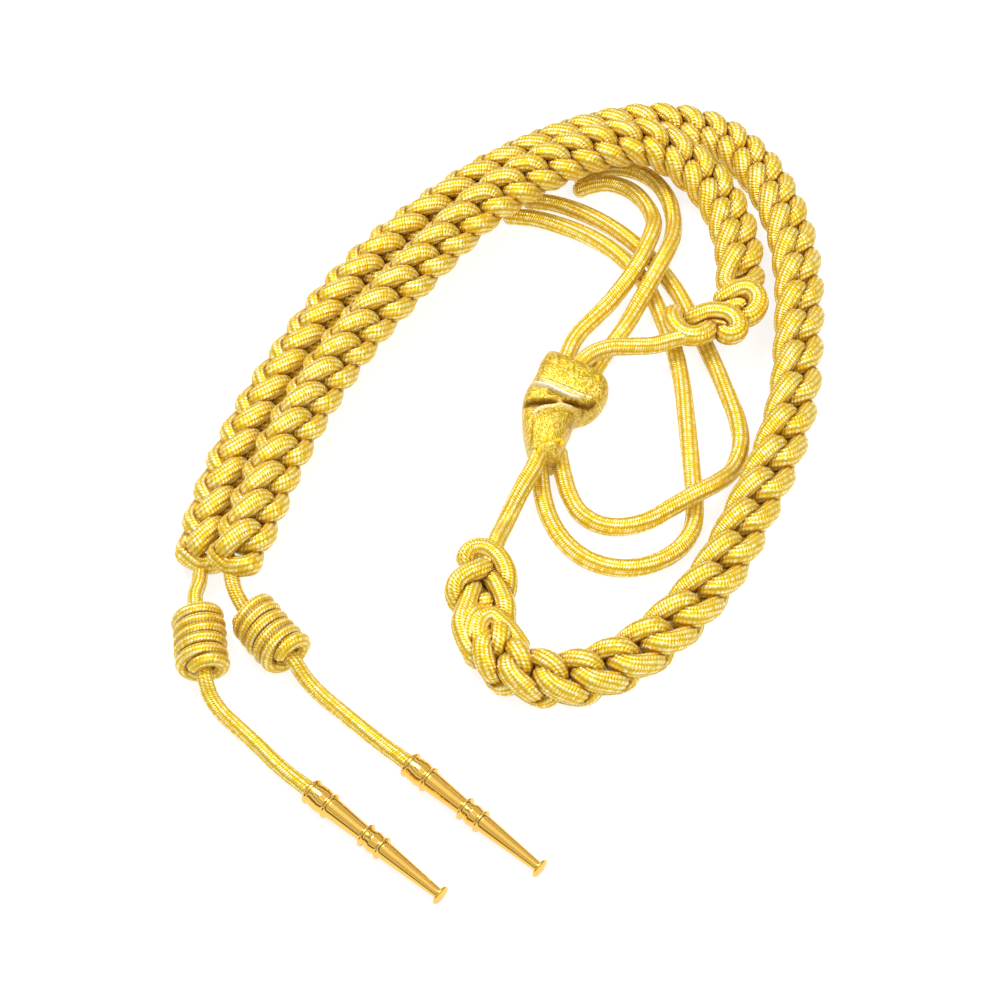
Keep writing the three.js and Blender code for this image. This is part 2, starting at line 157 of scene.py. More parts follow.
TAG_CORD_LEFT = [
    [-107.5, -35, 7], [-107.5, -41, 7.2], [-108.3, -47.5, 8.8],
    *onward(BARREL_LEFT, [-15, -12, 12, 15]),
    [-100.4, -87, 5.6], [-96.5, -92, 3.2], [-90.5, -98, 3.1], [-83.5, -104.8, 3.1],
    [-76.5, -112, 3.1], [-71, -117.4, 4], *onward(TAG_LEFT, [-3, 0, TAG_SOCKET - GAP]),
]
TAG_CORD_RIGHT = [
    [-95.5, -36, 16.5], [-95.3, -42, 16], [-93.8, -48, 12.8],
    *onward(BARREL_RIGHT, [-15, -12, 12, 15]),
    [-67.8, -79.8, 5.6], [-62.5, -84.8, 3.2], [-53.8, -92.8, 3.1], [-44.6, -101, 3.1],
    [-37.5, -107.4, 4], *onward(TAG_RIGHT, [-3, 0, TAG_SOCKET - GAP]),
]

# Strands that the first turns of each plait make, as they lie on its end
LONG_KNOT = [
    [[-12, -34.5, 7], [-12, -32, 10], [-9.5, -30, 12], [-5.5, -30.5, 13.5], [-2, -33, 14],
     [1, -37, 13.5], [2.5, -41.5, 12.5], [2.5, -45.5, 10.5], [1.5, -49, 8]],
    [[-2.5, -36, 8], [-5, -38, 12], [-8, -40.5, 14.5], [-11.5, -42.5, 15], [-15, -45.5, 14.5],
     [-16, -48.5, 12.5], [-15, -51, 9.5], [-13, -52, 7]],
    [[-9.5, -43, 9], [-10, -48, 12], [-11, -52.5, 13], [-12.5, -57.5, 13.5], [-13.5, -62.5, 13.5],
     [-12.5, -67, 13], [-10.5, -71.5, 12], [-7.5, -74, 10], [-4.5, -76, 8]],
    [[-5, -38.5, 9], [-1.5, -44, 11.5], [0.5, -49.5, 12.5], [2, -54.5, 12.5], [2, -58.5, 11],
     [2.5, -62, 8.5]],
    [[-9, -52.5, 9.5], [-5.5, -52, 11], [-2, -51, 10]],
    [[-11, -40, 6], [-7, -46, 6], [-5.5, -56, 6.5], [-5, -66, 7], [-3, -72, 7]],
    [[-5, -76.5, 9], [-6.5, -73, 12], [-7.5, -69, 13.5], [-7.5, -64.5, 14.2], [-5.5, -61, 14.5],
     [-2.5, -60, 14.5], [0.5, -62.5, 14], [3.5, -65, 12.5], [6.5, -68.5, 10.5], [8.5, -71, 8]],
]
SHORT_KNOT = [
    [[84, 84.5, 10], [87.5, 86, 14], [92, 87.5, 16], [96, 87, 17], [98.8, 84, 16.5], [99, 80.5, 15],
     [96.5, 77.5, 13], [92.5, 77.5, 10.5]],
    [[85, 80.5, 11], [88.5, 82, 12.5], [92.5, 82.5, 13], [95, 80.5, 12]],
    [[73.5, 77.5, 9], [75.5, 77, 12.5], [79.5, 77.5, 14.5], [84, 77, 15.5], [88, 75.5, 15.5],
     [90.5, 72.5, 15], [90.8, 69.5, 14], [88.5, 68, 13], [86, 69.5, 12], [85.5, 73, 11]],
    [[77, 75.5, 10], [81.5, 74.5, 12], [86.5, 73, 12.5], [89.5, 71, 12]],
    [[68, 84, 8], [66.5, 77, 11], [68, 70.5, 13], [71.5, 66.8, 14], [75.5, 66.8, 14],
     [79, 69.5, 13], [81, 73.5, 11]],
]

# The lace tab: its left edge, its right edge and how high it lies, from the top edge to the foot
TAB_ROWS = [
    [18, 62.5, 37.5, 50.5, 12.8], [17, 59.5, 39.4, 48.6, 15.4], [15.5, 56, 40.6, 46.4, 16.4],
    [14, 51.5, 41, 43.6, 16.8], [13.4, 49.3, 40.6, 41.2, 17], [12.2, 47, 39.4, 38.4, 16.8],
    [10.8, 44.5, 37.4, 35.2, 16.2], [9, 40, 34, 32, 16], [8.2, 33.5, 28.6, 30, 16.2],
    [8.4, 25.5, 26.2, 24.5, 16.6], [9.6, 17.5, 24, 18.5, 16.8], [11.2, 12.5, 22.6, 14, 16.2],
    [12.4, 9.6, 21.4, 11, 13.6],
]
# Its folds: how far each lifts the lace, how wide it is, and its line
TAB_FOLDS = [
    (1.9, 1.0, [[12, 43.5], [15, 41.8], [18.5, 40.5], [22.5, 37.8], [26.5, 35.6], [29.5, 35]]),
    (0.8, 0.6, [[15, 44.6], [19.5, 42.4], [24.5, 39.8], [30, 37], [34.5, 36]]),
    (-1.1, 0.6, [[18.5, 38.2], [21.5, 36.6], [24, 34.8]]),
    (-3.0, 1.0, [[24.5, 33.8], [29, 33], [33, 33], [35, 34.5]]),
    (-3.2, 1.5, [[10, 34], [15.5, 33.7], [20, 34]]),
    (1.2, 0.7, [[12.5, 28], [14.5, 30], [17, 31.4], [20, 32.2], [23, 32.2], [27, 31.2]]),
    (-0.9, 0.5, [[11.5, 16], [11.5, 21.5], [13, 26], [15, 28], [18, 29.5], [22.5, 30], [27, 29.6]]),
    (-2.8, 0.9, [[26, 24.5], [28, 28], [31, 31]]),
]
# Short threads sewn over its edges, each from one place to the next
TAB_THREADS = [
    [[22.9, 53.4], [25.2, 50.2]], [[27.6, 50.4], [26.4, 48.2]], [[31.4, 48.2], [30.4, 45.6]],
    [[36.4, 45.4], [36.8, 42.6]], [[14, 9.6], [15, 12.2]], [[16, 14], [17.4, 16.8]],
    [[18.8, 14.6], [18.2, 17]], [[20.4, 14.8], [22.6, 15.4]], [[22.4, 13], [23.4, 14.6]],
]


# Curves


def unit(vectors: Array) -> Array:
    """Vectors scaled to length one, along the last axis."""
    return vectors / np.maximum(np.linalg.norm(vectors, axis=-1, keepdims=True), 1e-12)


def resting(height: Array, least: float, ease: float = 1.5) -> Array:
    """Heights kept above a least one: least + ease ln(1 + exp((height - least) / ease))."""
    return least + ease * np.logaddexp(0, (height - least) / ease)


def run_along(points: Array) -> Array:
    """How far along a line each of its (n, 3) places is."""
    return np.r_[0, np.cumsum(np.linalg.norm(np.diff(points, axis=0), axis=1))]


def smooth_curve(knots: Array, per_span: int) -> Array:
    """Places on a centripetal Catmull-Rom curve through knots, per_span to a span.

    Each span between knots p1 and p2 is a cubic whose end slopes weigh the
    neighbouring spans by the square root of their lengths.
    """
    full = np.vstack([2 * knots[0] - knots[1], knots, 2 * knots[-1] - knots[-2]])
    x0, x1, x2, x3 = full[:-3], full[1:-2], full[2:-1], full[3:]
    roots = (np.sqrt(np.linalg.norm(b - a, axis=1)) for a, b in ((x0, x1), (x1, x2), (x2, x3)))
    d0, d1, d2 = (root[:, None] for root in roots)
    m1 = ((x1 - x0) / d0 - (x2 - x0) / (d0 + d1) + (x2 - x1) / d1) * d1
    m2 = ((x2 - x1) / d1 - (x3 - x1) / (d1 + d2) + (x3 - x2) / d2) * d1
    u = np.linspace(0, 1, per_span, endpoint=False)[None, :, None]
    a, b, c, m = (x[:, None] for x in (x1, m1, x2, m2))
    inner = a + b * u + (-3 * a + 3 * c - 2 * b - m) * u**2 + (2 * a - 2 * c + b + m) * u**3
    return np.vstack([inner.reshape(-1, 3), x2[-1]])


class Route:
    """A smooth line through typed places."""

    def __init__(self, places: list[list[float]], per_span: int = 48) -> None:
        """Works the curve out on a fine grid of places.

        Args:
            places: x, y, z in mm, with or without a fourth value that runs along.
            per_span: steps in each span between two places.
        """
        rows = np.array(places, float)
        self.points = smooth_curve(rows[:, :3] - MIDDLE, per_span)
        self.along = run_along(self.points)
        self.length = float(self.along[-1])
        self.extra = None
        if rows.shape[1] > 3:
            spans = np.linspace(0, len(rows) - 1, len(self.points))
            self.extra = np.interp(spans, np.arange(len(rows)), rows[:, 3])

    def place(self, at: Array) -> Array:
        """Places at the given distances along, in mm; past an end it runs straight on."""
        inside = np.clip(at, 0, self.length)
        flat = np.stack([np.interp(inside, self.along, self.points[:, i]) for i in range(3)], -1)
        return flat + (at - inside)[..., None] * self.way(inside)

    def way(self, at: Array) -> Array:
        """Unit tangents at the given distances along."""
        slope = np.gradient(self.points, self.along, axis=0)
        inside = np.clip(at, 0, self.length)
        return unit(np.stack([np.interp(inside, self.along, slope[:, i]) for i in range(3)], -1))

    def value(self, at: Array) -> Array:
        """The fourth typed value at the given distances along."""
        return np.interp(at, self.along, self.extra)


# Surfaces


@dataclass
class Surface:
    """Places in mm, faces of one size each, and one UV for each face corner."""

    points: Array
    faces: list[Array] = field(default_factory=list)
    corners: list[Array] = field(default_factory=list)
    openness: Array | None = None

    def clear(self) -> Array:
        """How open each place is, from 0 in a crease to 1; it masks painted shade and highlight."""
        return np.ones(len(self.points)) if self.openness is None else self.openness

    def joined(self, other: "Surface") -> "Surface":
        """This surface and another as one."""
        start = len(self.points)
        return Surface(
            np.vstack([self.points, other.points]),
            [*self.faces, *(f + start for f in other.faces)],
            [*self.corners, *other.corners],
            np.r_[self.clear(), other.clear()],
        )

    def to_object(
        self, name: str, finish: bpy.types.Material, smooth: bool = True,
    ) -> bpy.types.Object:
        """Makes the mesh object, in metres, at the origin.

        Args:
            name: the piece's name.
            finish: its material.
            smooth: whether its faces shade smoothly.

        Returns:
            The object, linked to the scene.
        """
        mesh = bpy.data.meshes.new(name)
        order = np.concatenate([f.ravel() for f in self.faces])
        sizes = np.concatenate([np.full(len(f), f.shape[1]) for f in self.faces])
        mesh.vertices.add(len(self.points))
        mesh.vertices.foreach_set("co", (self.points * MM).astype(np.float32).ravel())
        mesh.loops.add(len(order))
        mesh.loops.foreach_set("vertex_index", order.astype(np.int32))
        mesh.polygons.add(len(sizes))
        mesh.polygons.foreach_set("loop_start", (np.cumsum(sizes) - sizes).astype(np.int32))
        mesh.polygons.foreach_set("use_smooth", np.full(len(sizes), smooth))
        layer = mesh.uv_layers.new(name="lay")
        uv = np.concatenate([c.reshape(-1, 2) for c in self.corners]).astype(np.float32)
        layer.data.foreach_set("uv", uv.ravel())
        own = mesh.attributes.new("open", "FLOAT", "POINT")
        own.data.foreach_set("value", self.clear().astype(np.float32))
        mesh.update(calc_edges=True)
        mesh.materials.append(finish)
        made = bpy.data.objects.new(name, mesh)
        bpy.context.scene.collection.objects.link(made)
        return made


def wrapped(rings: Array, u: Array, v: Array) -> Surface:
    """A closed surface over rings of places, with a face at each end.

    Face (i, j) joins places j and j+1 of rings i and i+1, and goes round.

    Args:
        rings: (rings, sides, 3) places in mm, anticlockwise about the way on.
        u: sides + 1 values round.
        v: one value for each ring.

    Returns:
        The surface.
    """
    count, sides = rings.shape[:2]
    i, j = np.meshgrid(np.arange(count - 1), np.arange(sides), indexing="ij")
    k = (j + 1) % sides
    below, above = i * sides, (i + 1) * sides
    quads = np.stack([below + j, below + k, above + k, above + j], -1).reshape(-1, 4)
    corners = ((j, i), (j + 1, i), (j + 1, i + 1), (j, i + 1))
    uv = np.stack([np.stack([u[a], v[b]], -1) for a, b in corners], 2).reshape(-1, 4, 2)
    ring = np.arange(sides)
    ends = np.stack([ring[::-1], ring + (count - 1) * sides])
    round_ends = zip((u[:-1][::-1], u[:-1]), (v[0], v[-1]))
    end_uv = np.stack([np.stack([a, np.full(sides, b)], -1) for a, b in round_ends])
    return Surface(rings.reshape(-1, 3), [quads, ends], [uv, end_uv])


def sheet_grid(points: Array, uv: Array) -> Surface:
    """An open surface over a (rows, columns, 3) grid of places, with a UV for each."""
    rows, columns = points.shape[:2]
    i, j = np.meshgrid(np.arange(rows - 1), np.arange(columns - 1), indexing="ij")
    at = i * columns + j
    quads = np.stack([at, at + 1, at + columns + 1, at + columns], -1).reshape(-1, 4)
    return Surface(points.reshape(-1, 3), [quads], [uv.reshape(-1, 2)[quads]])


def clearance(
    rings: Array, own: Array, centres: Array, run: Array, radius: float,
    reach: float = 1.2, apart: float = 3.4, most: int = 48,
) -> Array:
    """How open each place of a cord's skin is, where other turns of cord come near.

    With d the distance to the nearest centre that lies `apart` radii or more along, it
    is (d - radius) / reach, kept from 0 to 1. Where it is low, shade is painted into
    the crease.

    Args:
        rings: (rings, sides, 3) places of the skin in mm.
        own: index of each ring's own centre.
        centres: the centres of every cord that counts.
        run: the distance along at each centre, far apart for different cords.
        radius: the cord's radius.
        reach: how far the painted crease shade reaches.
        apart: how many radii further along a cord can touch itself again.
        most: how many of the nearest centres are looked at.

    Returns:
        One value for each place.
    """
    far = np.linalg.norm((centres[own][:, None] - centres[None]).astype(np.float32), axis=2)
    far[np.abs(run[own][:, None] - run[None]) < apart * radius] = FAR
    most = min(most, len(centres) - 1)
    near = np.argpartition(far, most, axis=1)[:, :most]
    counts = np.take_along_axis(far, near, axis=1) < FAR
    others = np.where(counts[..., None], centres[near], FAR).astype(np.float32)
    least = np.full(rings.shape[:2], FAR, np.float32)
    for k in range(most):
        least = np.minimum(least, np.linalg.norm(rings - others[:, None, k], axis=2))
    return np.clip((least - radius) / reach, 0, 1).ravel()


@dataclass(frozen=True)
class Gimp:
    """Ribbed cord: a round section whose radius dips between its ribs.

    radius(a) = r (1 - depth + depth |cos(ribs a / 2)|^0.5), wider by `flat` along the
    second normal and thinner by it along the first.
    """

    diameter: float
    ribs: int = 10
    depth: float = 0.1
    per_rib: int = 4
    flat: float = 0.0
    rounding: float = 0.42  # how much of an end rounds off, in diameters
    tip: float = 0.004  # least share of the section's area at an end

    def along(
        self, centres: Array, normals: Array,
        twist: Array | float = 0.0, beside: Array | None = None,
    ) -> Surface:
        """The cord's skin along centres, rounded off at its ends.

        The ribs turn by the twist within an oval that stays.

        Args:
            centres: (n, 3) places in mm.
            normals: one first normal or (n, 3) of them, about square to the way on.
            twist: turn of the ribs at each centre, in radians.
            beside: centres of other cords that touch this one.

        Returns:
            The surface, with U in ribs and V in mm.
        """
        way = unit(np.gradient(centres, axis=0))
        first = unit(normals - way * (normals * way).sum(1, keepdims=True))
        second = np.cross(way, first)
        run = run_along(centres)
        near = np.clip(np.minimum(run, run[-1] - run) / (self.rounding * self.diameter), 0, 1)
        size = np.sqrt(np.clip(1 - (1 - near) ** 2, self.tip, 1))[:, None, None]
        turn = np.linspace(0, 1, self.ribs * self.per_rib + 1)
        a = 2 * np.pi * turn[:-1]
        dip = 1 - self.depth + self.depth * np.abs(np.cos(self.ribs * a / 2)) ** 0.5
        a = a + np.broadcast_to(twist, run.shape)[:, None]
        x, y = (0.5 * self.diameter * dip * part for part in (np.cos(a), np.sin(a)))
        x, y = x[..., None] * (1 - self.flat), y[..., None] * (1 + self.flat)
        rings = centres[:, None] + size * (x * first[:, None] + y * second[:, None])
        skin = wrapped(rings, turn * self.ribs, run)
        count = len(centres)
        if beside is not None:
            centres = np.vstack([centres, beside])
            run = np.r_[run, np.full(len(beside), 10 * FAR)]
        # the openness masks the shade painted into creases where cords come near
        skin.openness = clearance(rings, np.arange(count), centres, run, 0.5 * self.diameter)
        return skin


# Finishes


class Slot(Enum):
    """The record's material slots."""

    GOLD_CORD = "gold_cord"
    GOLD_LACE = "gold_lace"
    GILT_BRASS = "gilt_brass"


def new_material(name: str) -> tuple[bpy.types.Material, Tree]:
    """A material with a Principled shader, and its node tree."""
    made = bpy.data.materials.new(name)
    made.use_nodes = True
    return made, made.node_tree


def feed(tree: Tree, socket: Socket, value: object) -> None:
    """Links a socket to another one, or sets it to a number, a colour or a vector."""
    if isinstance(value, bpy.types.NodeSocket):
        tree.links.new(value, socket)
    else:
        socket.default_value = value


def set_shader(tree: Tree, values: dict[str, object]) -> None:
    """Feeds the Principled shader's inputs by their names."""
    for name, value in values.items():
        feed(tree, tree.nodes["Principled BSDF"].inputs[name], value)


def sum_node(tree: Tree, kind: str, *values: object) -> Socket:
    """Adds a Math node of a kind, on sockets or numbers; returns its result."""
    node = tree.nodes.new("ShaderNodeMath")
    node.operation = kind
    for socket, value in zip(node.inputs, values):
        feed(tree, socket, value)
    return node.outputs[0]


def mix_node(tree: Tree, share: Socket, low: object, high: object) -> Socket:
    """Adds a mix of two colours by a share; returns the colour."""
    node = tree.nodes.new("ShaderNodeMix")
    node.data_type = "RGBA"
    for number, value in ((0, share), (6, low), (7, high)):
        feed(tree, node.inputs[number], value)
    return node.outputs[2]


def ramp_node(tree: Tree, level: Socket, *stops: tuple[float, Colour]) -> Socket:
    """Adds a ramp of colours at rising levels; returns the colour."""
    node = tree.nodes.new("ShaderNodeValToRGB")
    feed(tree, node.inputs[0], level)
    elements = node.color_ramp.elements
    for element, (at, colour) in zip(elements, (stops[0], stops[-1])):
        element.position, element.color = at, (*colour, 1)
    for at, colour in stops[1:-1]:
        elements.new(at).color = (*colour, 1)
    return node.outputs[0]


def bump_node(tree: Tree, height: Socket, distance: float, strength: float = 1.0) -> Socket:
    """Adds a bump; returns its normal. A distance below zero makes heights into dips."""
    node = tree.nodes.new("ShaderNodeBump")
    node.invert = distance < 0
    for name, value in (("Height", height), ("Distance", abs(distance)), ("Strength", strength)):
        feed(tree, node.inputs[name], value)
    return node.outputs[0]


def lay_uv(tree: Tree) -> Socket:
    """The pieces' own UV: round and along, in ribs or mm."""
    node = tree.nodes.new("ShaderNodeUVMap")
    node.uv_map = "lay"
    return node.outputs[0]


def openness(tree: Tree) -> Socket:
    """How open each place of the mesh is: the mask for painted shade and highlight."""
    node = tree.nodes.new("ShaderNodeAttribute")
    node.attribute_name = "open"
    return node.outputs["Fac"]


def winding_group() -> Tree:
    """Shader group of fine metal thread wound round each rib of a cord.

    Turn = V / pitch + slant * x + half of the rib's number, with x the place across a
    rib from -0.5 to 0.5. Height is |sin(pi turn)|, crest is cos(pi x), and each turn of
    each rib draws its own random glint.
    """
    tree = bpy.data.node_groups.new("wound_thread", "ShaderNodeTree")
    face = tree.interface
    face.new_socket("UV", in_out="INPUT", socket_type="NodeSocketVector")
    for name, value in (("Pitch", 0.9), ("Slant", 0.5)):
        face.new_socket(name, in_out="INPUT", socket_type="NodeSocketFloat").default_value = value
    for name in ("Height", "Glint", "Crest"):
        face.new_socket(name, in_out="OUTPUT", socket_type="NodeSocketFloat")
    nodes, links = tree.nodes, tree.links
    given, out = nodes.new("NodeGroupInput"), nodes.new("NodeGroupOutput")
    split = nodes.new("ShaderNodeSeparateXYZ")
    links.new(given.outputs["UV"], split.inputs[0])
    rib = sum_node(tree, "FLOOR", sum_node(tree, "ADD", split.outputs[0], 0.5))
    inside = sum_node(tree, "SUBTRACT", split.outputs[0], rib)
    half = sum_node(tree, "MULTIPLY", rib, 0.5)
    lean = sum_node(tree, "MULTIPLY_ADD", inside, given.outputs["Slant"], half)
    length = sum_node(tree, "DIVIDE", split.outputs[1], given.outputs["Pitch"])
    turn = sum_node(tree, "ADD", length, lean)
    swing = sum_node(tree, "SINE", sum_node(tree, "MULTIPLY", turn, np.pi))
    links.new(sum_node(tree, "ABSOLUTE", swing), out.inputs["Height"])
    across = sum_node(tree, "MULTIPLY", inside, np.pi)
    links.new(sum_node(tree, "COSINE", across), out.inputs["Crest"])
    cell = nodes.new("ShaderNodeCombineXYZ")
    links.new(rib, cell.inputs[0])
    links.new(sum_node(tree, "FLOOR", turn), cell.inputs[1])
    noise = nodes.new("ShaderNodeTexWhiteNoise")
    noise.noise_dimensions = "2D"
    links.new(cell.outputs[0], noise.inputs["Vector"])
    links.new(noise.outputs["Value"], out.inputs["Glint"])
    return tree


@dataclass(frozen=True)
class GoldGimp:
    """Gold gimp: wound metal thread over ribs, satin, with painted shade and painted glints."""

    name: str
    # painted shade: the ramp's lowest colour, in the rib grooves and between wound turns
    groove_shade: Colour = (0.64, 0.34, 0.006)
    body: Colour = (0.82, 0.55, 0.02)
    # painted highlight: the ramp's palest colour, on the crests and at random glints
    light: Colour = (1.0, 0.95, 0.56)
    # painted shade: the colour put into creases where cords come near
    crease_shade: Colour = (0.27, 0.075, 0.001)
    pitch: float = 0.95
    slant: float = 0.5
    # ramp levels: the first sets the painted groove shade, the rest add painted highlight on
    # crests, turn middles and glints
    dark: float = 0.3
    crown: float = 0.1
    thread: float = 0.14
    glitter: float = 0.52
    closing: float = 0.6
    relief: float = 0.00018
    roughness: float = 0.36
    metallic: float = 0.6

    def material(self, group: Tree) -> bpy.types.Material:
        """The cord's material, with the winding group placed in it.

        Tone = dark + crest (crown + height^0.5 (thread + glitter glint)), from groove_shade over
        body to light, and open^closing brings it up out of crease_shade. The tone is painted
        shade in the rib grooves and the gaps between wound turns, and painted highlight on the
        crests, brightest at random glints; the crease colour is painted shade where cords come
        near.

        Args:
            group: the winding group.

        Returns:
            The material.
        """
        made, tree = new_material(self.name)
        wound = tree.nodes.new("ShaderNodeGroup")
        wound.node_tree = group
        for name, value in (("UV", lay_uv(tree)), ("Pitch", self.pitch), ("Slant", self.slant)):
            feed(tree, wound.inputs[name], value)
        height, glint, crest = (wound.outputs[n] for n in ("Height", "Glint", "Crest"))
        # the tone paints shade into the grooves and highlight onto the crests and glints
        full = sum_node(tree, "POWER", height, 0.5)
        level = sum_node(tree, "MULTIPLY_ADD", glint, self.glitter, self.thread)
        level = sum_node(tree, "MULTIPLY_ADD", full, level, self.crown)
        level = sum_node(tree, "MULTIPLY_ADD", level, crest, self.dark)
        tone = ramp_node(tree, level, (0.1, self.groove_shade), (0.5, self.body), (0.95, self.light))
        # open^closing lets in the painted crease shade where cords come near
        share = sum_node(tree, "POWER", openness(tree), self.closing)
        set_shader(tree, {
            "Base Color": mix_node(tree, share, (*self.crease_shade, 1), tone),
            "Roughness": sum_node(tree, "MULTIPLY_ADD", glint, -0.2, self.roughness + 0.1),
            "Normal": bump_node(tree, height, self.relief, 0.8),
            "Metallic": self.metallic,
            "Specular IOR Level": 0.2,
        })
        return made


@dataclass(frozen=True)
class GiltBrass:
    """Polished gilt brass with faint turning marks."""

    name: str
    colour: Colour = (0.96, 0.58, 0.12)
    dull: float = 0.86
    marks: tuple[float, float, float] = (0.05, 3.0, 0.0)
    roughness: float = 0.12

    def material(self) -> bpy.types.Material:
        """The metal's material; turning marks follow V, the way along the piece."""
        made, tree = new_material(self.name)
        stretch = tree.nodes.new("ShaderNodeVectorMath")
        stretch.operation = "MULTIPLY"
        feed(tree, stretch.inputs[0], lay_uv(tree))
        feed(tree, stretch.inputs[1], self.marks)
        lines = tree.nodes.new("ShaderNodeTexNoise")
        lines.noise_dimensions = "2D"
        for name, value in (("Vector", stretch.outputs[0]), ("Scale", 1.0), ("Detail", 3.0)):
            feed(tree, lines.inputs[name], value)
        worn = tuple(self.dull * c for c in self.colour)
        level = lines.outputs[0]
        set_shader(tree, {
            "Base Color": mix_node(tree, level, (*worn, 1), (*self.colour, 1)),
            "Roughness": sum_node(tree, "MULTIPLY_ADD", level, 0.15, self.roughness - 0.05),
            "Metallic": 1.0,
        })
        return made


@dataclass(frozen=True)
class GoldLace:
    """Glittering woven metal lace: fine threads, painted highlight on folds, painted shade in
    hollows.
    """

    name: str
    body: Colour = (0.72, 0.475, 0.016)
    light: Colour = (0.92, 0.7, 0.16)
    # painted highlight on raised folds, then painted shade in sunken ones
    edge: Colour = (1.0, 0.96, 0.72)
    hollow_shade: Colour = (0.2, 0.075, 0.002)
    dull: float = 0.66
    thread: float = 0.62
    uneven: float = 0.75
    relief: float = 0.00015

    def material(self) -> bpy.types.Material:
        """The lace's material, woven in the tab's own UV, in mm.

        Its colour goes towards edge, a painted highlight, where the mesh is more than half
        open, and towards hollow_shade, a painted shade, where it is less, by how far 2 open - 1
        is from zero.
        """
        made, tree = new_material(self.name)
        cells = tree.nodes.new("ShaderNodeTexVoronoi")
        cells.voronoi_dimensions = "2D"
        given = (("Vector", lay_uv(tree)), ("Scale", 1 / self.thread), ("Randomness", self.uneven))
        for name, value in given:
            feed(tree, cells.inputs[name], value)
        split = tree.nodes.new("ShaderNodeSeparateColor")
        feed(tree, split.inputs[0], cells.outputs["Color"])
        low = tuple(self.dull * c for c in self.body)
        stops = ((0.1, low), (0.5, self.body), (0.9, self.light))
        colour = ramp_node(tree, split.outputs[0], *stops)
        # above masks the painted fold highlight, below the painted hollow shade
        above = sum_node(tree, "MULTIPLY_ADD", openness(tree), 2.0, -1.0)
        below = sum_node(tree, "MULTIPLY", above, -1.0)
        for share, tint in ((above, self.edge), (below, self.hollow_shade)):
            colour = mix_node(tree, share, colour, (*tint, 1))
        set_shader(tree, {
            "Base Color": colour,
            "Roughness": 0.34,
            "Normal": bump_node(tree, cells.outputs["Distance"], -self.relief),
            "Metallic": 0.6,
        })
        return made


@dataclass(frozen=True)
class SewnThread:
    """Bright yellow sewing thread."""

    name: str
    colour: Colour = (1.0, 0.62, 0.0)
    roughness: float = 0.5

    def material(self) -> bpy.types.Material:
        """The thread's even material."""
        made, tree = new_material(self.name)
        set_shader(tree, {"Base Color": (*self.colour, 1), "Roughness": self.roughness})
        return made


@dataclass
class Finishes:
    """Every material of the object, made once."""

    gimp: bpy.types.Material
    brass: bpy.types.Material
    lace: bpy.types.Material
    thread: bpy.types.Material

    @classmethod
    def made(cls) -> "Finishes":
        """Builds the shared group and the materials."""
        wound = winding_group()
        return cls(
            GoldGimp("gold_gimp").material(wound),
            GiltBrass("gilt_brass").material(),
            GoldLace("gold_lace").material(),
            SewnThread("sewn_thread").material(),
        )


def dress(piece: bpy.types.Object, slot: Slot, *nodes: str) -> bpy.types.Object:
    """Rides the piece on the root body, in the place of its nodes."""
    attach(piece, "root")
    if nodes:
        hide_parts(*nodes)
    LOG.info("%s: %d faces", piece.name, len(piece.data.polygons))
    return piece


# Pieces


@dataclass
class FreeCord:
    """A plain ribbed cord that lies along its route."""

    name: str
    places: list[list[float]]
    diameter: float = CORD
    step: float = 1.3
    twist: float = 0.012
    lift: float = 0.1
    ends: tuple[float, ...] = (0, 0.12, 0.35, 0.75, 1.2)  # places close together round off an end
    inner: float = 1.5

    def build(self, finishes: Finishes) -> bpy.types.Object:
        """The ribs turn slowly: twist times the distance along, in radians.

        Args:
            finishes: the object's materials.

        Returns:
            The cord.
        """
        route = Route(self.places)
        at = np.linspace(0, route.length, int(round(route.length / self.step)) + 1)
        ends = np.array(self.ends)
        between = at[(at > self.inner) & (at < route.length - self.inner)]
        at = np.unique(np.r_[ends, between, route.length - ends])
        centres = route.place(at)
        # the curve may dip between two places, but the cord lies on the table
        centres[:, 2] = np.maximum(centres[:, 2], self.diameter / 2 + self.lift)
        skin = Gimp(self.diameter).along(centres, UP, self.twist * at)
        piece = skin.to_object("plain_" + self.name, finishes.gimp)
        dress(piece, Slot.GOLD_CORD, self.name)
        return piece


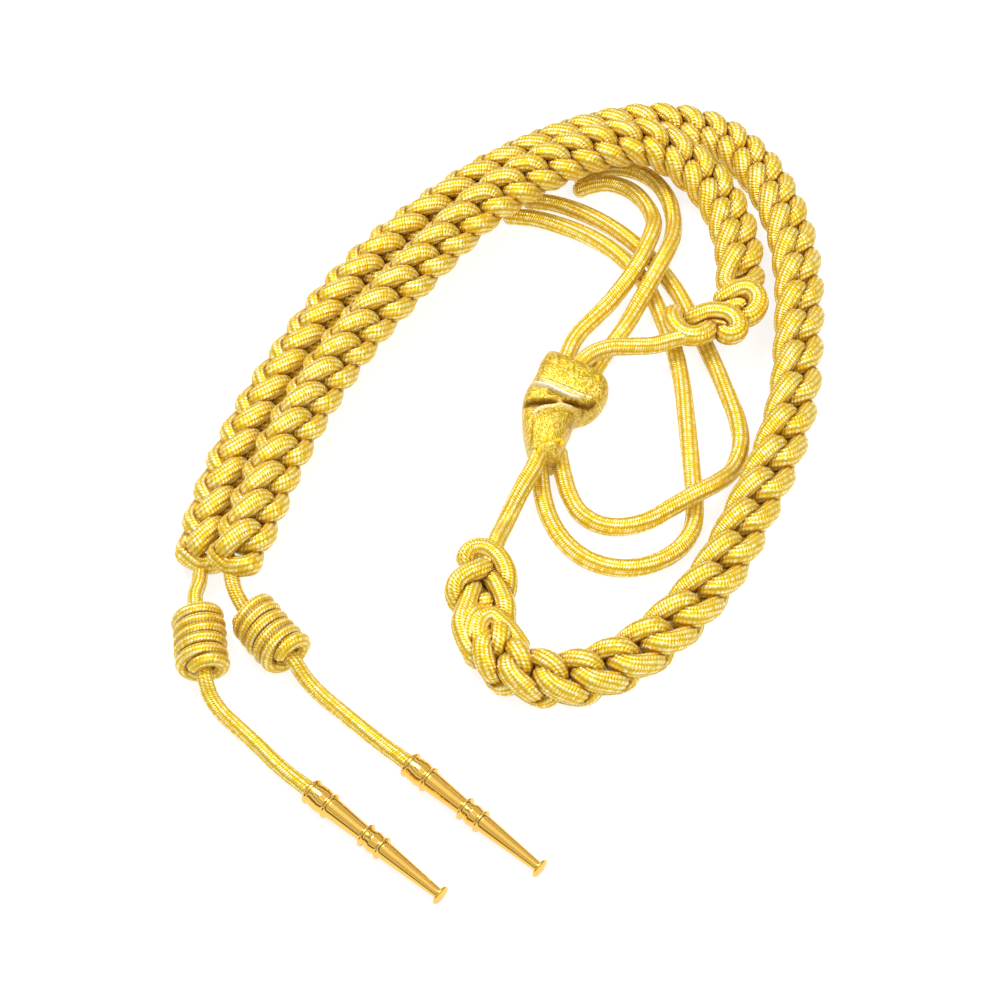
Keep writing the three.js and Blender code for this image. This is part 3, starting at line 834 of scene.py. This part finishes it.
@dataclass
class Stitch:
    """One stitch of a plait's single strand, tight against the next ones.

    Places are (t, l, w): t along the chain in stitches, l to the left of the way on and
    w towards the side that is seen, in strand diameters. The strand lies over the chain
    as a bar, dives, goes on as one leg of a ring, round its head and back along the
    other leg, and comes up one stitch further on.
    """

    diameter: float = 8.0
    pitch: float = STITCH
    places: int = 41
    bar: tuple[tuple[float, float, float], ...] = (
        (-0.05, 0.32, 0.50), (0.03, 0.25, 0.80), (0.16, 0.14, 0.96), (0.34, 0.0, 1.02),
        (0.53, -0.14, 1.02), (0.69, -0.27, 0.95), (0.81, -0.37, 0.77), (0.88, -0.42, 0.45),
        (0.91, -0.45, 0.1),
    )
    leg: tuple[tuple[float, float, float], ...] = (
        (0.97, -0.48, -0.17), (1.12, -0.54, -0.3), (1.3, -0.64, -0.28), (1.5, -0.74, -0.15),
        (1.7, -0.8, 0.0), (1.87, -0.83, 0.15), (2.02, -0.79, 0.28), (2.15, -0.66, 0.36),
        (2.26, -0.45, 0.36), (2.34, -0.2, 0.28),
    )
    head: tuple[tuple[float, float, float], ...] = (
        (2.38, 0.05, 0.22), (2.4, 0.3, 0.27), (2.37, 0.55, 0.36), (2.28, 0.78, 0.40),
        (2.15, 0.93, 0.37),
    )
    back: tuple[tuple[float, float, float], ...] = (
        (1.98, 0.98, 0.25), (1.82, 0.94, 0.08), (1.66, 0.84, -0.08), (1.46, 0.68, -0.24),
        (1.26, 0.52, -0.30), (1.09, 0.42, -0.22), (0.98, 0.37, -0.05), (0.95, 0.35, 0.2),
    )
    steps: int = 20
    crowd: float = 9.0
    sharpest: float = 0.3

    def line(self) -> Array:
        """The stitch's places in mm, closer together where it bends more.

        The gap between two places is as 1 / (1 + crowd |bend|), with the bend in 1/mm
        and counted up to the sharpest.
        """
        shape = np.array([*self.bar, *self.leg, *self.head, *self.back])
        scale = [self.pitch, self.diameter, self.diameter]
        three = np.vstack([shape + [k, 0, 0] for k in (-1, 0, 1)]) * scale
        own = len(shape) * self.steps
        fine = smooth_curve(three, self.steps)[own:2 * own + 1]
        gaps = np.linalg.norm(np.diff(fine, axis=0), axis=1)
        way = unit(np.gradient(fine, axis=0))
        bend = np.linalg.norm(np.diff(way, axis=0), axis=1) / gaps
        run = np.r_[0, np.cumsum(gaps * (1 + self.crowd * np.minimum(bend, self.sharpest)))]
        at = np.linspace(0, run[-1], self.places, endpoint=False)
        return np.stack([np.interp(at, run, fine[:, i]) for i in range(3)], -1)

    def normals(self, line: Array) -> tuple[Array, Array]:
        """Normals that face away from the plait's heart, and how far they turn.

        A normal carried along the strand without twist is turned by the angle to the
        outward direction, smoothed over the strand, where opposite ways count as one.

        Args:
            line: the stitch's places.

        Returns:
            The carried normals of one stitch, and the turn at each place, which goes on
            growing by its last value for each stitch.
        """
        count = len(line)
        full = np.vstack([line[-1:] - [self.pitch, 0, 0], line, line[:2] + [self.pitch, 0, 0]])
        way = unit(full[2:] - full[:-2])
        carried = [unit(np.cross(way[0], [0.3, 0.5, 0.8]))]
        for ahead in way[1:]:
            carried.append(unit(carried[-1] - ahead * (carried[-1] @ ahead)))
        first = np.array(carried)
        second = np.cross(way, first)
        turn = np.arctan2(first[-1] @ second[0], first[-1] @ first[0])
        ease = -turn * np.arange(count + 1) / count
        first = first * np.cos(ease)[:, None] + second * np.sin(ease)[:, None]
        second = np.cross(way, first)
        heart = np.array([0.0, 0.0, 0.5 * (line[:, 2].min() + line[:, 2].max())])
        out = (np.vstack([line, line[:1]]) - heart) * [0, 1, 1]
        doubled = ((out * first).sum(1) + 1j * (out * second).sum(1))[:count] ** 2
        reach = np.minimum(np.arange(count), count - np.arange(count))
        weight = np.exp(-0.5 * (reach / (0.06 * count)) ** 2)
        smooth = np.fft.ifft(np.fft.fft(doubled) * np.fft.fft(weight))
        angle = np.unwrap(np.angle(smooth)) / 2
        last = angle[-1] + np.angle(smooth[0] / smooth[-1]) / 2
        return first[:count], np.r_[angle, last]


@dataclass
class Plait:
    """A chain plait of one ribbed strand along a route that starts at its tag end."""

    name: str
    places: list[list[float]]
    lengths: list[list[float]]
    stitch: Stitch
    flat: float = 0.08
    taper: float = 18.0
    end: float = 0.86
    spare: float = 0.45  # stitches that the first and last turns take up
    start: float = 1.4  # where in a stitch the strand comes in
    stop: float = 1.08  # where in the last one it goes out
    drawn: float = 1.8  # how far into the last ring it is drawn up
    clear: float = 1.04  # least height of the strand's middle, in its radii
    steps: int = 3000

    def build(self, finishes: Finishes) -> bpy.types.Object:
        """Lays the stitches along the route and makes the strand's skin.

        The chain is worked from the knot end to the tag end, and stops with a bar, with
        the last ring drawn up to half its length. A place (t, l, w) of it goes to
        C(s) + l edge + (w - w0) face, where C is the route, edge its right and face its
        seen side, both turned by the roll, and s the place that has t fewer stitches,
        the integral of ds / length, than the far end.

        Args:
            finishes: the object's materials.

        Returns:
            The plait.
        """
        route = Route(self.places)
        half = 0.5 * self.stitch.diameter
        along = np.linspace(half, route.length - half, self.steps)
        length = np.interp(along, *np.transpose(self.lengths))
        passed = np.r_[0, np.cumsum(0.5 * (1 / length[1:] + 1 / length[:-1]) * np.diff(along))]
        line = self.stitch.line()
        normal, turn = self.stitch.normals(line)
        full, pitch = len(line), self.stitch.pitch
        first, last = (int(np.argmax(line[:, 0] > t * pitch)) for t in (self.start, self.stop))
        count = int(round(passed[-1] - self.spare))
        order = np.arange(first, (count + 1) * full + last)
        part, number = order % full, order // full
        t = line[part, 0] / pitch + number
        t = np.minimum(t, count + self.drawn) + 0.5 * np.maximum(t - count - self.drawn, 0)
        scale = passed[-1] / np.ptp(t)
        at = np.interp(passed[-1] - (t - t.min()) * scale, passed, along)
        left, out = line[part, 1:2], line[part, 2:3]
        twist = turn[part] + number * (turn[-1] - turn[0])
        way = route.way(at)
        side = unit(np.cross(way, [0.0, 0.0, 1.0]))
        up = np.cross(side, way)
        roll = np.radians(route.value(at))[:, None]
        face = up * np.cos(roll) + side * np.sin(roll)
        edge = side * np.cos(roll) - up * np.sin(roll)
        near = np.clip(np.minimum(at, route.length - at) / self.taper, 0, 1)
        share = (self.end + (1 - self.end) * np.sin(near * np.pi / 2))[:, None]
        middle = 0.5 * (line[:, 2].min() + line[:, 2].max())
        centres = route.place(at) + share * left * edge + share * (out - middle) * face
        centres[:, 2] = resting(centres[:, 2], half * self.clear)
        outward = -normal[part, :1] * way + normal[part, 1:2] * edge + normal[part, 2:] * face
        gimp = Gimp(self.stitch.diameter, STRAND_RIBS, STRAND_DEPTH, flat=self.flat)
        piece = gimp.along(centres, outward, twist).to_object("plaited_" + self.name, finishes.gimp)
        return dress(piece, Slot.GOLD_CORD, self.name)


@dataclass
class PlaitKnot:
    """Strands that lie over a plait's end."""

    name: str
    strands: list[list[list[float]]]
    diameter: float
    step: float = 0.9

    def build(self, finishes: Finishes) -> bpy.types.Object:
        """Makes every strand as one piece."""
        lines = []
        for route in map(Route, self.strands):
            count = int(route.length / self.step) + 1
            lines.append(route.place(np.linspace(0, route.length, count)))
        gimp = Gimp(self.diameter, STRAND_RIBS, STRAND_DEPTH)
        skins = [gimp.along(centres, UP, beside=np.vstack(lines[:k] + lines[k + 1:]))
                 for k, centres in enumerate(lines)]
        piece = reduce(Surface.joined, skins).to_object("strands_" + self.name, finishes.gimp)
        return dress(piece, Slot.GOLD_CORD, self.name)


@dataclass
class BarrelKnot:
    """Turns of cord wound close round the tag cord."""

    name: str
    spot: Spot
    wraps: float = 5.4
    radius: float = 9.5
    pitch: float = 4.1
    diameter: float = 5.4
    tail: float = 0.3  # turns at each end that tuck in
    tuck: float = 0.45  # how far they do, as a share of the radius
    uneven: tuple[tuple[float, float], ...] = ((0.25, 5.1), (0.35, 4.3))  # size and rate
    per_turn: int = 60

    def build(self, finishes: Finishes) -> bpy.types.Object:
        """Makes the winding.

        A place at turn q is the axis place at pitch (q - wraps / 2), plus the winding
        radius times (side cos 2 pi q + up sin 2 pi q). Both the radius and the place
        along vary a little by size sin(rate q). The ends tuck in under the turns.

        Args:
            finishes: the object's materials.

        Returns:
            The knot.
        """
        at, turn = self.spot
        axis, side = heading(turn)
        q = np.linspace(-self.tail, self.wraps + self.tail, int(self.per_turn * self.wraps))
        past = np.clip(np.maximum(-q, q - self.wraps), 0, self.tail) / self.tail
        out, on = (size * np.sin(rate * q + seed) for (size, rate), seed in zip(self.uneven, at))
        reach = (self.radius - self.diameter / 2) * (1 - self.tuck * past) + out
        angle = 2 * np.pi * q - 0.5 * np.pi
        along = self.pitch * (np.clip(q, 0, self.wraps) - self.wraps / 2) + on
        outward = side * np.cos(angle)[:, None] + UP * np.sin(angle)[:, None]
        centres = np.array(at) - MIDDLE + along[:, None] * axis + reach[:, None] * outward
        skin = Gimp(self.diameter, ribs=9).along(centres, outward)
        piece = skin.to_object("wound_" + self.name, finishes.gimp)
        return dress(piece, Slot.GOLD_CORD, self.name)


@dataclass
class Tag:
    """A turned and polished tag that takes the cord's end.

    The body is given as (along, radius), and each ring on it as (middle, half length,
    radius), in shares of the length and of the widest ring's radius.
    """

    name: str
    spot: Spot
    length: float = 60.0
    ring: float = 4.8
    bore: float = TAG_CORD / 2 + GAP
    socket: float = TAG_SOCKET
    sides: int = 56
    steps: int = 150
    body: tuple[tuple[float, float], ...] = (
        (0.0, 0.86), (0.03, 0.86), (0.06, 0.92), (0.1, 0.95), (0.13, 0.86), (0.15, 0.79),
        (0.175, 0.79), (0.3, 0.7), (0.42, 0.62), (0.455, 0.7), (0.49, 0.81), (0.53, 0.72),
        (0.56, 0.66), (0.6, 0.64), (0.75, 0.53), (0.97, 0.37), (1.0, 0.37),
    )
    rings: tuple[tuple[float, float, float], ...] = (
        (0.014, 0.016, 1.0), (0.152, 0.014, 1.0), (0.43, 0.013, 0.93), (0.55, 0.012, 0.9),
        (0.985, 0.015, 0.74),
    )
    foot: float = 0.12  # how deep in the body a ring starts
    eye: float = 0.02  # radius, in mm, at which the socket's bottom and the tip close
    bevel: float = 0.3  # depth, in mm, of the mouth's bevel
    face: float = 0.55  # the tip's flat face, as a share of its radius

    def profile(self) -> Array:
        """Places (along, radius) from the bottom of the socket out and on to the tip.

        The body is an even line through its main radii, and each ring a half ellipse
        that rises out of it.
        """
        at = np.unique(np.r_[np.linspace(0, 1, self.steps), 0.0, 0.014, 0.028, 0.97, 0.985])
        body = np.interp(at, *np.transpose(self.body))
        share = body
        for middle, half, top in self.rings:
            rise = np.sqrt(np.clip(1 - ((at - middle) / half) ** 2, 0, 1))
            share = np.maximum(share, (body - self.foot) + (top - body + self.foot) * rise)
        lip = [[self.socket, self.eye], [self.socket, self.bore], [self.bevel, self.bore]]
        shell = np.stack([at * self.length, share * self.ring], -1)
        close = [[self.length, self.face * shell[-1, 1]], [self.length, self.eye]]
        return np.vstack([lip, shell, close])

    def build(self, finishes: Finishes) -> bpy.types.Object:
        """Turns the profile about the tag's own line."""
        at, turn = self.spot
        axis, side = heading(turn)
        line = self.profile()
        a = np.linspace(0, 2 * np.pi, self.sides, endpoint=False)
        spoke = side * np.cos(a)[:, None] + UP * np.sin(a)[:, None]
        rings = np.array(at) - MIDDLE + line[:, None, :1] * axis + line[:, None, 1:] * spoke
        skin = wrapped(rings, np.arange(self.sides + 1.0), run_along(line))
        piece = skin.to_object("turned_" + self.name, finishes.brass)
        return dress(piece, Slot.GILT_BRASS, self.name)


@dataclass
class LaceTab:
    """The folded lace tab that gathers the cords, with the threads along its edges."""

    name: str
    rows: list[list[float]]
    folds: list[tuple[float, float, list[list[float]]]]
    threads: list[list[list[float]]]
    square: float = 3.2
    low: float = 0.5
    around: int = 144
    between: int = 14
    # a fold's lift is also painted: highlight where it rises, shade where it sinks
    contrast: float = 0.27  # how much a fold's lift in mm shows in its colour
    thread: float = 1.3
    seat: float = 15.6  # height of a thread's ends
    bow: float = 1.4  # how far its middle rises above them
    steps: int = 9

    def folded(self, places: Array) -> Array:
        """How far the folds lift each place: the sum of lift exp(-(d / width)^2).

        Args:
            places: (n, 2) places in mm, seen from above; d is the distance to the fold.

        Returns:
            The lift in mm.
        """
        total = np.zeros(len(places))
        for lift, width, line in self.folds:
            corners = np.array(line, float) - MIDDLE[:2]
            start, step = corners[:-1], np.diff(corners, axis=0)
            share = ((places[:, None] - start) * step).sum(2) / (step * step).sum(1)
            nearest = start + np.clip(share, 0, 1)[..., None] * step
            far = np.linalg.norm(places[:, None] - nearest, axis=2).min(1)
            total += lift * np.exp(-(far / width) ** 2)
        return total

    def skin(self) -> tuple[Array, Array]:
        """(rows, around, 3) places of a rounded-square section between the two edges.

        A section's place at angle a is width / 2 times sign(cos) |cos|^(2 / square) to
        the side, and the same of sin in height.

        Returns:
            The places, and for each how far it stands out, from 0 in a fold to 1; it masks
            the highlight painted on raised folds and the shade painted in sunken ones.
        """
        table = np.array(self.rows, float)
        flat = 0 * table[:, :1]
        left = smooth_curve(np.hstack([table[:, :2], flat]) - MIDDLE, self.between)
        right = smooth_curve(np.hstack([table[:, 2:4], flat]) - MIDDLE, self.between)
        heights = np.hstack([table[:, 4:], 3 * np.arange(len(table))[:, None], flat])
        high = smooth_curve(heights, self.between)[:, 0]
        a = np.linspace(0, 2 * np.pi, self.around, endpoint=False)
        u, v = (np.sign(f(a)) * np.abs(f(a)) ** (2 / self.square) for f in (np.cos, np.sin))
        places = 0.5 * (left + right)[:, None] + 0.5 * (right - left)[:, None] * u[None, :, None]
        share = 0.5 * (1 + v[None])
        lift = self.folded(places[..., :2].reshape(-1, 2)).reshape(places.shape[:2]) * share ** 3
        places[..., 2] = self.low + (high - self.low)[:, None] * share + lift
        return places, np.clip(0.5 + self.contrast * lift, 0, 1)

    def build(self, finishes: Finishes) -> bpy.types.Object:
        """Makes the tab in the place of its node, and the threads along its edges."""
        places, standing = (part[::-1] for part in self.skin())
        closed = np.concatenate([places, places[:, :1]], axis=1)
        girth = np.linalg.norm(np.diff(closed, axis=1), axis=2).mean(0)
        cover = wrapped(places, np.r_[0, np.cumsum(girth)], run_along(places[:, self.around // 4]))
        # this mask paints highlight on raised folds and shade in sunken ones
        cover.openness = standing.ravel()
        piece = cover.to_object("folded_" + self.name, finishes.lace)
        height = self.seat + self.bow * np.sin(np.linspace(0, np.pi, self.steps))
        strand = Gimp(self.thread, ribs=4)
        lines = np.array(self.threads, float) - MIDDLE[:2]
        skins = [strand.along(np.c_[np.linspace(*ends, self.steps), height], UP) for ends in lines]
        sewn = reduce(Surface.joined, skins).to_object("edge_threads", finishes.thread)
        dress(sewn, Slot.GOLD_LACE)
        return dress(piece, Slot.GOLD_LACE, self.name)


@dataclass
class Studio:
    """Camera, floor and soft light."""

    lens: float = 85.0
    sensor: float = 36.0
    place: tuple[float, float, float] = (-0.0051, -0.51575, 0.7156)
    tilt: float = 35.0
    floor: float = 3.0  # half of its width
    grey: float = 0.3
    glow: float = 0.8
    bands: tuple[tuple[float, float], ...] = (  # the room's brightness at each Generated z
        (0.0, 0.25), (0.3, 0.15), (0.42, 1.1), (0.56, 1.0), (0.65, 0.08), (0.74, 1.1),
        (0.82, 0.95), (0.865, 0.05), (0.91, 1.3), (1.0, 1.0),
    )
    lamps: tuple[tuple[str, tuple[float, float, float], float, float], ...] = (
        ("key", (-0.35, 0.3, 0.8), 0.3, 5.6), ("fill", (0.45, -0.4, 0.8), 0.4, 3.0),
    )

    def build(self) -> None:
        """Sets the camera at the photograph's angle, the floor and the lights."""
        scene = bpy.context.scene
        lens = bpy.data.cameras.new("camera")
        lens.lens, lens.sensor_width = self.lens, self.sensor
        lens.clip_start, lens.clip_end = 0.01, 20
        camera = bpy.data.objects.new("camera", lens)
        camera.location = self.place
        camera.rotation_euler = (np.radians(self.tilt), 0, 0)
        scene.collection.objects.link(camera)
        scene.camera = camera
        self.lay_floor()
        scene.world = self.room()
        for lamp in self.lamps:
            self.light(*lamp)
        scene.view_settings.view_transform = "Standard"

    def lay_floor(self) -> None:
        """Lays a pale square floor that glows a little."""
        half = self.floor / MM
        finish, tree = new_material("pale_floor")
        set_shader(tree, {
            "Base Color": (self.grey, self.grey, self.grey, 1),
            "Emission Color": (1, 1, 1, 1),
            "Emission Strength": self.glow,
            "Roughness": 0.9,
            "Specular IOR Level": 0.1,
        })
        corners = np.array([[[x, y, 0] for x in (-half, half)] for y in (-half, half)])
        floor = sheet_grid(corners, corners[..., :2] * MM).to_object("floor", finish, smooth=False)

    def room(self) -> bpy.types.World:
        """A room of level bands, bright and dark, for the metal to mirror."""
        world = bpy.data.worlds.new("soft_room")
        world.use_nodes = True
        tree = world.node_tree
        way = tree.nodes.new("ShaderNodeTexCoord")
        split = tree.nodes.new("ShaderNodeSeparateXYZ")
        feed(tree, split.inputs[0], way.outputs["Generated"])
        stops = [(at, (level, level, level)) for at, level in self.bands]
        back = tree.nodes["Background"]
        feed(tree, back.inputs["Color"], (1, 1, 1, 1))
        feed(tree, back.inputs["Strength"], ramp_node(tree, split.outputs[2], *stops))
        return world

    @staticmethod
    def light(name: str, place: tuple[float, float, float], size: float, power: float) -> None:
        """A square soft light that faces the origin."""
        light = bpy.data.lights.new(name, "AREA")
        light.size, light.energy = size, power
        made = bpy.data.objects.new(name, light)
        made.location = place
        made.rotation_euler = (-Vector(place)).to_track_quat("-Z", "Y").to_euler()
        bpy.context.scene.collection.objects.link(made)


def main() -> None:
    """Builds the studio and every piece, and reports each."""
    logging.basicConfig(level=logging.INFO, format="%(name)s: %(message)s")
    Studio().build()
    finishes = Finishes.made()
    for name, places, diameter in (
        ("arc_cord_outer", ARC_OUTER, CORD), ("arc_cord_inner", ARC_INNER, CORD),
        ("loop_cord_outer", LOOP_OUTER, CORD), ("loop_cord_inner", LOOP_INNER, CORD),
        ("long_link_cord", LONG_LINK, CORD), ("short_link_cord", SHORT_LINK, CORD),
        ("tag_cord_left", TAG_CORD_LEFT, TAG_CORD),
        ("tag_cord_right", TAG_CORD_RIGHT, TAG_CORD),
    ):
        FreeCord(name, places, diameter).build(finishes)
    for name, places, lengths in (
        ("long_plait", LONG_ROUTE, LONG_STITCHES), ("short_plait", SHORT_ROUTE, SHORT_STITCHES),
    ):
        Plait(name, places, lengths, Stitch()).build(finishes)
    PlaitKnot("long_plait_knot", LONG_KNOT, 7.4).build(finishes)
    PlaitKnot("short_plait_knot", SHORT_KNOT, 8.3).build(finishes)
    for name, spot in (("barrel_knot_left", BARREL_LEFT), ("barrel_knot_right", BARREL_RIGHT)):
        BarrelKnot(name, spot).build(finishes)
    for name, spot in (("tag_left", TAG_LEFT), ("tag_right", TAG_RIGHT)):
        Tag(name, spot).build(finishes)
    LaceTab("shoulder_tab", TAB_ROWS, TAB_FOLDS, TAB_THREADS).build(finishes)


if __name__ == "__main__":
    main()
